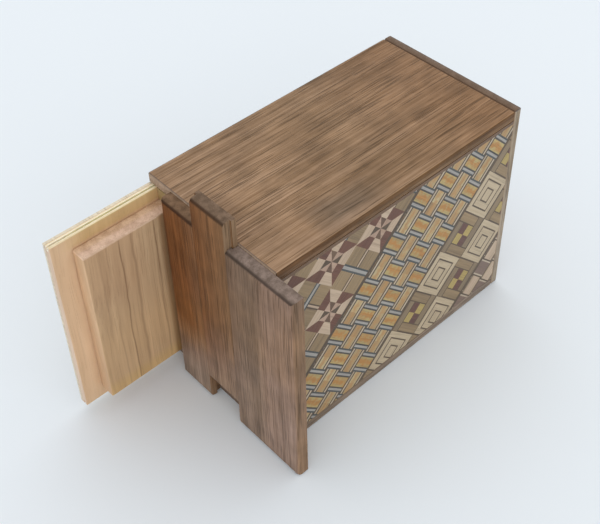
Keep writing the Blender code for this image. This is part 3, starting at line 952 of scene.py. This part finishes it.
def end_board():
    """The end board's two upright parts and the key strip between them."""
    narrow = ("y", 0, 2)
    wide = ("y", 0, -2)
    board = "end_board_wide_part"
    key = "key_strip"
    # Painted shade and warm bounce light from the lid's block: the end faces turn redder and darker
    # towards the lid side and up from the foot.
    red = tint((0.68, 0.395, 0.205), ("y", -20, 10), ("z", 10, 36), facing=KEY_END)
    # Painted sheen: the lower end faces turn paler and bluer towards the foot, where a reflection
    # falls.
    low_sheen = tint((1.04, 1.10, 1.24), ("z", 50, 24), facing=KEY_END)
    board_tints = dict(
        red=red,
        narrow_lighter_low=tint((1.11, 1.15, 1.05), narrow, ("z", 58, 46), facing=KEY_END),
        narrow_lighter_high=tint((1.05, 1.09, 1.1), narrow, ("z", 55, 65), facing=KEY_END),
        narrow_bluer_foot=tint((1.0, 1.02, 1.18), narrow, ("z", 30, 20), facing=KEY_END),
        wide_darker_near_key=tint((0.86, 0.87, 0.89), ("y", -30, -25), wide, facing=KEY_END),
        wide_paler_away=tint((1.08, 1.07, 1.16), ("y", -26, -31), facing=KEY_END),
        low_sheen=low_sheen,
        wide_paler_top=tint((1.23, 1.32, 1.45), wide, facing=TOPSIDE),
        narrow_warmer_top=tint((1.0, 0.85, 0.64), narrow, facing=TOPSIDE),
        # Painted shade on the rounded edge where the front meets the top.
        shaded_top_edge=tint(
            (0.62, 0.6, 0.57),
            edge_ramp(board, "x", 0, 0.9, 0.4),
            edge_ramp(board, "z", 1, 1.1, 0.6),
        ),
        side=tint((0.98, 0.95, 0.92), facing=BASE_SIDE),
        darker_head=tint((0.92, 0.91, 0.9), ("z", 50, 72), facing=KEY_END),
    )
    key_tints = dict(
        red=red,
        warmer=tint((0.95, 0.85, 0.655), ("z", 26, 48)),
        warmer_head=tint((0.96, 0.92, 0.86), ("z", 72, 82)),
        pale_side=tint((1.2, 1.45, 1.95), facing=BASE_SIDE),
        pale_top=tint((1.11, 1.22, 1.48), facing=TOPSIDE),
        # Painted shade on the rounded edge where the key's front meets its top.
        shaded_top_edge=tint(
            (0.66, 0.63, 0.6),
            edge_ramp(key, "x", 0, 0.9, 0.4),
            edge_ramp(key, "z", 1, 1.1, 0.6),
        ),
        low_sheen=low_sheen,
    )
    wood = END_BOARD_WOOD
    board_finish = board_wood("walnut_end_board", "z", seed=0.83, tones=wood, tints=board_tints)
    key_finish = board_wood("walnut_key", "z", seed=0.47, tones=wood, tints=key_tints)
    parts = (
        ("end_board_narrow_part", "walnut_end_narrow", "end_board", board_finish),
        (board, "walnut_end_wide", "end_board", board_finish),
        (key, "walnut_key_strip", "key", key_finish),
    )
    target = face_place("top_side_panel", "x", 0) - SEAT_GAP
    for node, name, body, finish in parts:
        dress(node, name, body, finish, [("x", face_place(node, "x", 1), target)])


def inside_woods():
    """The pale woods of the inside and the splines."""
    planed = board_wood("planed_inner_wood", "x", seed=0.21, tones=LIGHT_WOOD)
    upright = board_wood("planed_upright_wood", "z", seed=0.77, tones=LIGHT_WOOD)
    rail = board_wood("planed_rail_wood", "y", seed=0.35, tones=RAIL_WOOD)
    for node in ("base_board", "lower_inner_wall", "upper_inner_wall"):
        paint_node(node, planed)
    for node in ("lower_lid_spline", "upper_lid_spline", "lower_end_spline", "upper_end_spline"):
        paint_node(node, planed)
    for node in ("far_inner_wall", "near_inner_wall", "end_board_backing", "key_tenon"):
        paint_node(node, upright)
    for node in ("lower_end_rail", "upper_end_rail"):
        paint_node(node, rail)


# The dark lines down the lid's block: where each is at its head and its foot, how wide and how
# strong it is, and the heights that it runs between.
BLOCK_LINES = (
    (-79.3, -80.1, 0.45, 0.62, 2, 81),
    (-74.3, -75.2, 0.8, 0.42, 10, 81),
    (-65.1, -65.5, 0.4, 0.6, 50, 83),
    (-65.4, -65.6, 0.5, 0.35, 8, 62),
    (-87.3, -87.6, 0.6, 0.2, 30, 80),
    (-84.2, -84.6, 0.5, 0.3, 3, 45),
)


def lid():
    """The lid's board, its block and the marquetry on its outer face."""
    block_tints = dict(
        top_back=tint((1.0, 1.0, 0.91), ("y", 24.4, 25.4), facing=TOPSIDE),
        paler_towards_box=tint((1.06, 1.07, 1.08), ("x", -79, -73), facing=BASE_SIDE),
        pale_end=tint((1.3, 1.3, 1.36), facing=KEY_END),
        shade_by_board=tint((0.62, 0.54, 0.46), ("y", 27.2, 28.0), facing=KEY_END),
        paler_low=tint((1.12, 1.1, 1.04), ("z", 55, 35), facing=BASE_SIDE),
        darker_high=tint((0.96, 0.92, 0.90), ("z", 45, 60), ("x", -70, -75), facing=BASE_SIDE),
        yellower_foot=tint((1.06, 1.05, 0.86), ("z", 17, 12), facing=BASE_SIDE),
        shade_by_box=tint((0.62, 0.55, 0.48), ("x", -64.4, -62.8), facing=BASE_SIDE),
    )
    block_finish = board_wood(
        "lid_block_wood",
        "z",
        seed=0.93,
        tones=BLOCK_WOOD,
        tints=block_tints,
        lines=BLOCK_LINES,
    )
    board_face = face_place("lid_board", "y", 0)
    seat = [("y", face_place("lid_block", "y", 1), board_face)]
    dress("lid_block", "pale_lid_block", "lid", block_finish, seat)
    low_wall, high_wall = GROOVE_LOW / MM, GROOVE_HIGH / MM
    # Where painted light lifts the shade inside the lid's groove.
    groove = (
        ("y", low_wall - GROOVE_LIGHT_EDGE, low_wall + GROOVE_LIGHT_EDGE),
        ("y", high_wall + GROOVE_LIGHT_EDGE, high_wall - GROOVE_LIGHT_EDGE),
        ("z", *GROOVE_LIGHT_FOOT),
    )
    board_tints = dict(
        yellower_head=tint((0.9, 0.905, 0.71), ("z", 79, 80.5), ("x", -97, -87), facing=BASE_SIDE),
        bluer_end=tint((1.0, 1.12, 1.38), facing=KEY_END),
        paler_outer_lip=tint((1.11, 1.12, 1.17), ("y", 29.9, 30.0), facing=TOPSIDE),
        # Painted light in the groove: paler and bluer than the board, to lift the groove's shade.
        painted_groove_light=tint((1.3, 1.7, 2.2), *groove),
        darker_high=tint((0.93, 0.93, 0.93), ("z", 35, 65), facing=BASE_SIDE),
    )
    board_finish = board_wood("lid_board_wood", "z", seed=0.61, tones=LID_WOOD, tints=board_tints)
    walls = [
        ("y", GROOVE_LOW, GROOVE_LOW + SEAT_GAP),
        ("y", GROOVE_HIGH, GROOVE_HIGH - SEAT_GAP),
    ]
    dress("lid_board", "pale_lid_board", "lid", board_finish, walls)
    low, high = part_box("lid_marquetry")
    low.y = face_place("lid_board", "y", 1)
    inlay("lid_inlay", "lid", low, high, 1, "lid_marquetry", LID_SEED, "edge", VENEER_STOCK)


def base():
    """The marquetry on the base."""
    low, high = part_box("base_marquetry")
    high.y = face_place("base_board", "y", 0)
    low.z = face_place("bottom_side_panel", "z", 1) + SKIN_GAP
    high.z = face_place("top_side_panel", "z", 0) - SKIN_GAP
    inlay("base_inlay", "box", low, high, -1, "base_marquetry", BASE_SEED, "border", VENEER_STOCK)


FLOOR_HALF = 3
FLOOR_ROUGHNESS = 0.85
FLOOR_SHINE = 0.2
FLOOR_MOTTLE_SCALE = 3.0
FLOOR_DEEP = colour(0.84, 0.87, 0.90)
FLOOR_PALE = colour(0.87, 0.90, 0.93)
DAYLIGHT = colour(0.93, 0.97, 1.0)
DAYLIGHT_STRENGTH = 0.88
LAMP_AIM = Vector((0, 0, 0.05))
LAMPS = {
    "overhead": {
        "place": Vector((0.25, 0.2, 0.9)),
        "size": (0.9, 0.7),
        "power": 1.4,
        "tone": (1.0, 0.99, 0.97),
    },
    "window": {
        "place": Vector((-0.7, -0.9, 0.5)),
        "size": (0.8, 0.8),
        "power": 2.0,
        "tone": (1.0, 0.98, 0.95),
    },
}

# Where the camera stands, its angles in degrees, its lens, and how far the frame is shifted.
CAMERA_PLACE = Vector((-198.197, -200.480, 319.554)) * MM
CAMERA_ANGLES = (48.88975, 1.08989, -42.74194)
CAMERA_SENSOR = 36
CAMERA_LENS = 63.6765
CAMERA_SHIFT = -0.1488767


def floor():
    """A pale floor."""
    bm = bmesh.new()
    bmesh.ops.create_grid(bm, x_segments=1, y_segments=1, size=FLOOR_HALF)
    mesh = bpy.data.meshes.new("pale_floor")
    bm.to_mesh(mesh)
    bm.free()
    material, tree, shader = new_material("floor_paper", FLOOR_ROUGHNESS, shine=FLOOR_SHINE)
    coords = add_node(tree, "ShaderNodeTexCoord")
    mottle = noise(tree, coords.outputs["Object"], FLOOR_MOTTLE_SCALE)
    face = blend_colours(tree, mottle, FLOOR_DEEP, FLOOR_PALE)
    tree.links.new(face, shader.inputs["Base Color"])
    mesh.materials.append(material)
    ground = bpy.data.objects.new("pale_floor", mesh)
    bpy.context.scene.collection.objects.link(ground)


def area_light(name, place, size, power, tone):
    """A broad soft light that is aimed at the box."""
    data = bpy.data.lights.new(name, "AREA")
    data.shape = "RECTANGLE"
    data.size, data.size_y = size
    data.energy = power
    data.color = tone
    lamp = bpy.data.objects.new(name, data)
    lamp.location = place
    direction = LAMP_AIM - place
    lamp.rotation_mode = "QUATERNION"
    lamp.rotation_quaternion = direction.to_track_quat("-Z", "Y")
    bpy.context.scene.collection.objects.link(lamp)


def studio():
    """Even daylight from all round, a light overhead and one from a window."""
    world = bpy.data.worlds.new("studio_daylight")
    world.use_nodes = True
    backdrop = world.node_tree.nodes["Background"]
    backdrop.inputs["Color"].default_value = DAYLIGHT
    backdrop.inputs["Strength"].default_value = DAYLIGHT_STRENGTH
    bpy.context.scene.world = world
    bpy.context.scene.view_settings.view_transform = "Standard"
    for name, lamp in LAMPS.items():
        area_light(name, **lamp)


def camera():
    """The camera that sees the box as the photograph does."""
    data = bpy.data.cameras.new("photo_camera")
    data.sensor_width = CAMERA_SENSOR
    data.lens = CAMERA_LENS
    data.shift_y = CAMERA_SHIFT
    eye = bpy.data.objects.new("photo_camera", data)
    turned = Euler([math.radians(angle) for angle in CAMERA_ANGLES]).to_matrix().to_4x4()
    eye.matrix_world = Matrix.Translation(CAMERA_PLACE) @ turned
    bpy.context.scene.collection.objects.link(eye)
    bpy.context.scene.camera = eye


walnut_boards()
end_board()
inside_woods()
lid()
base()
floor()
studio()
camera()
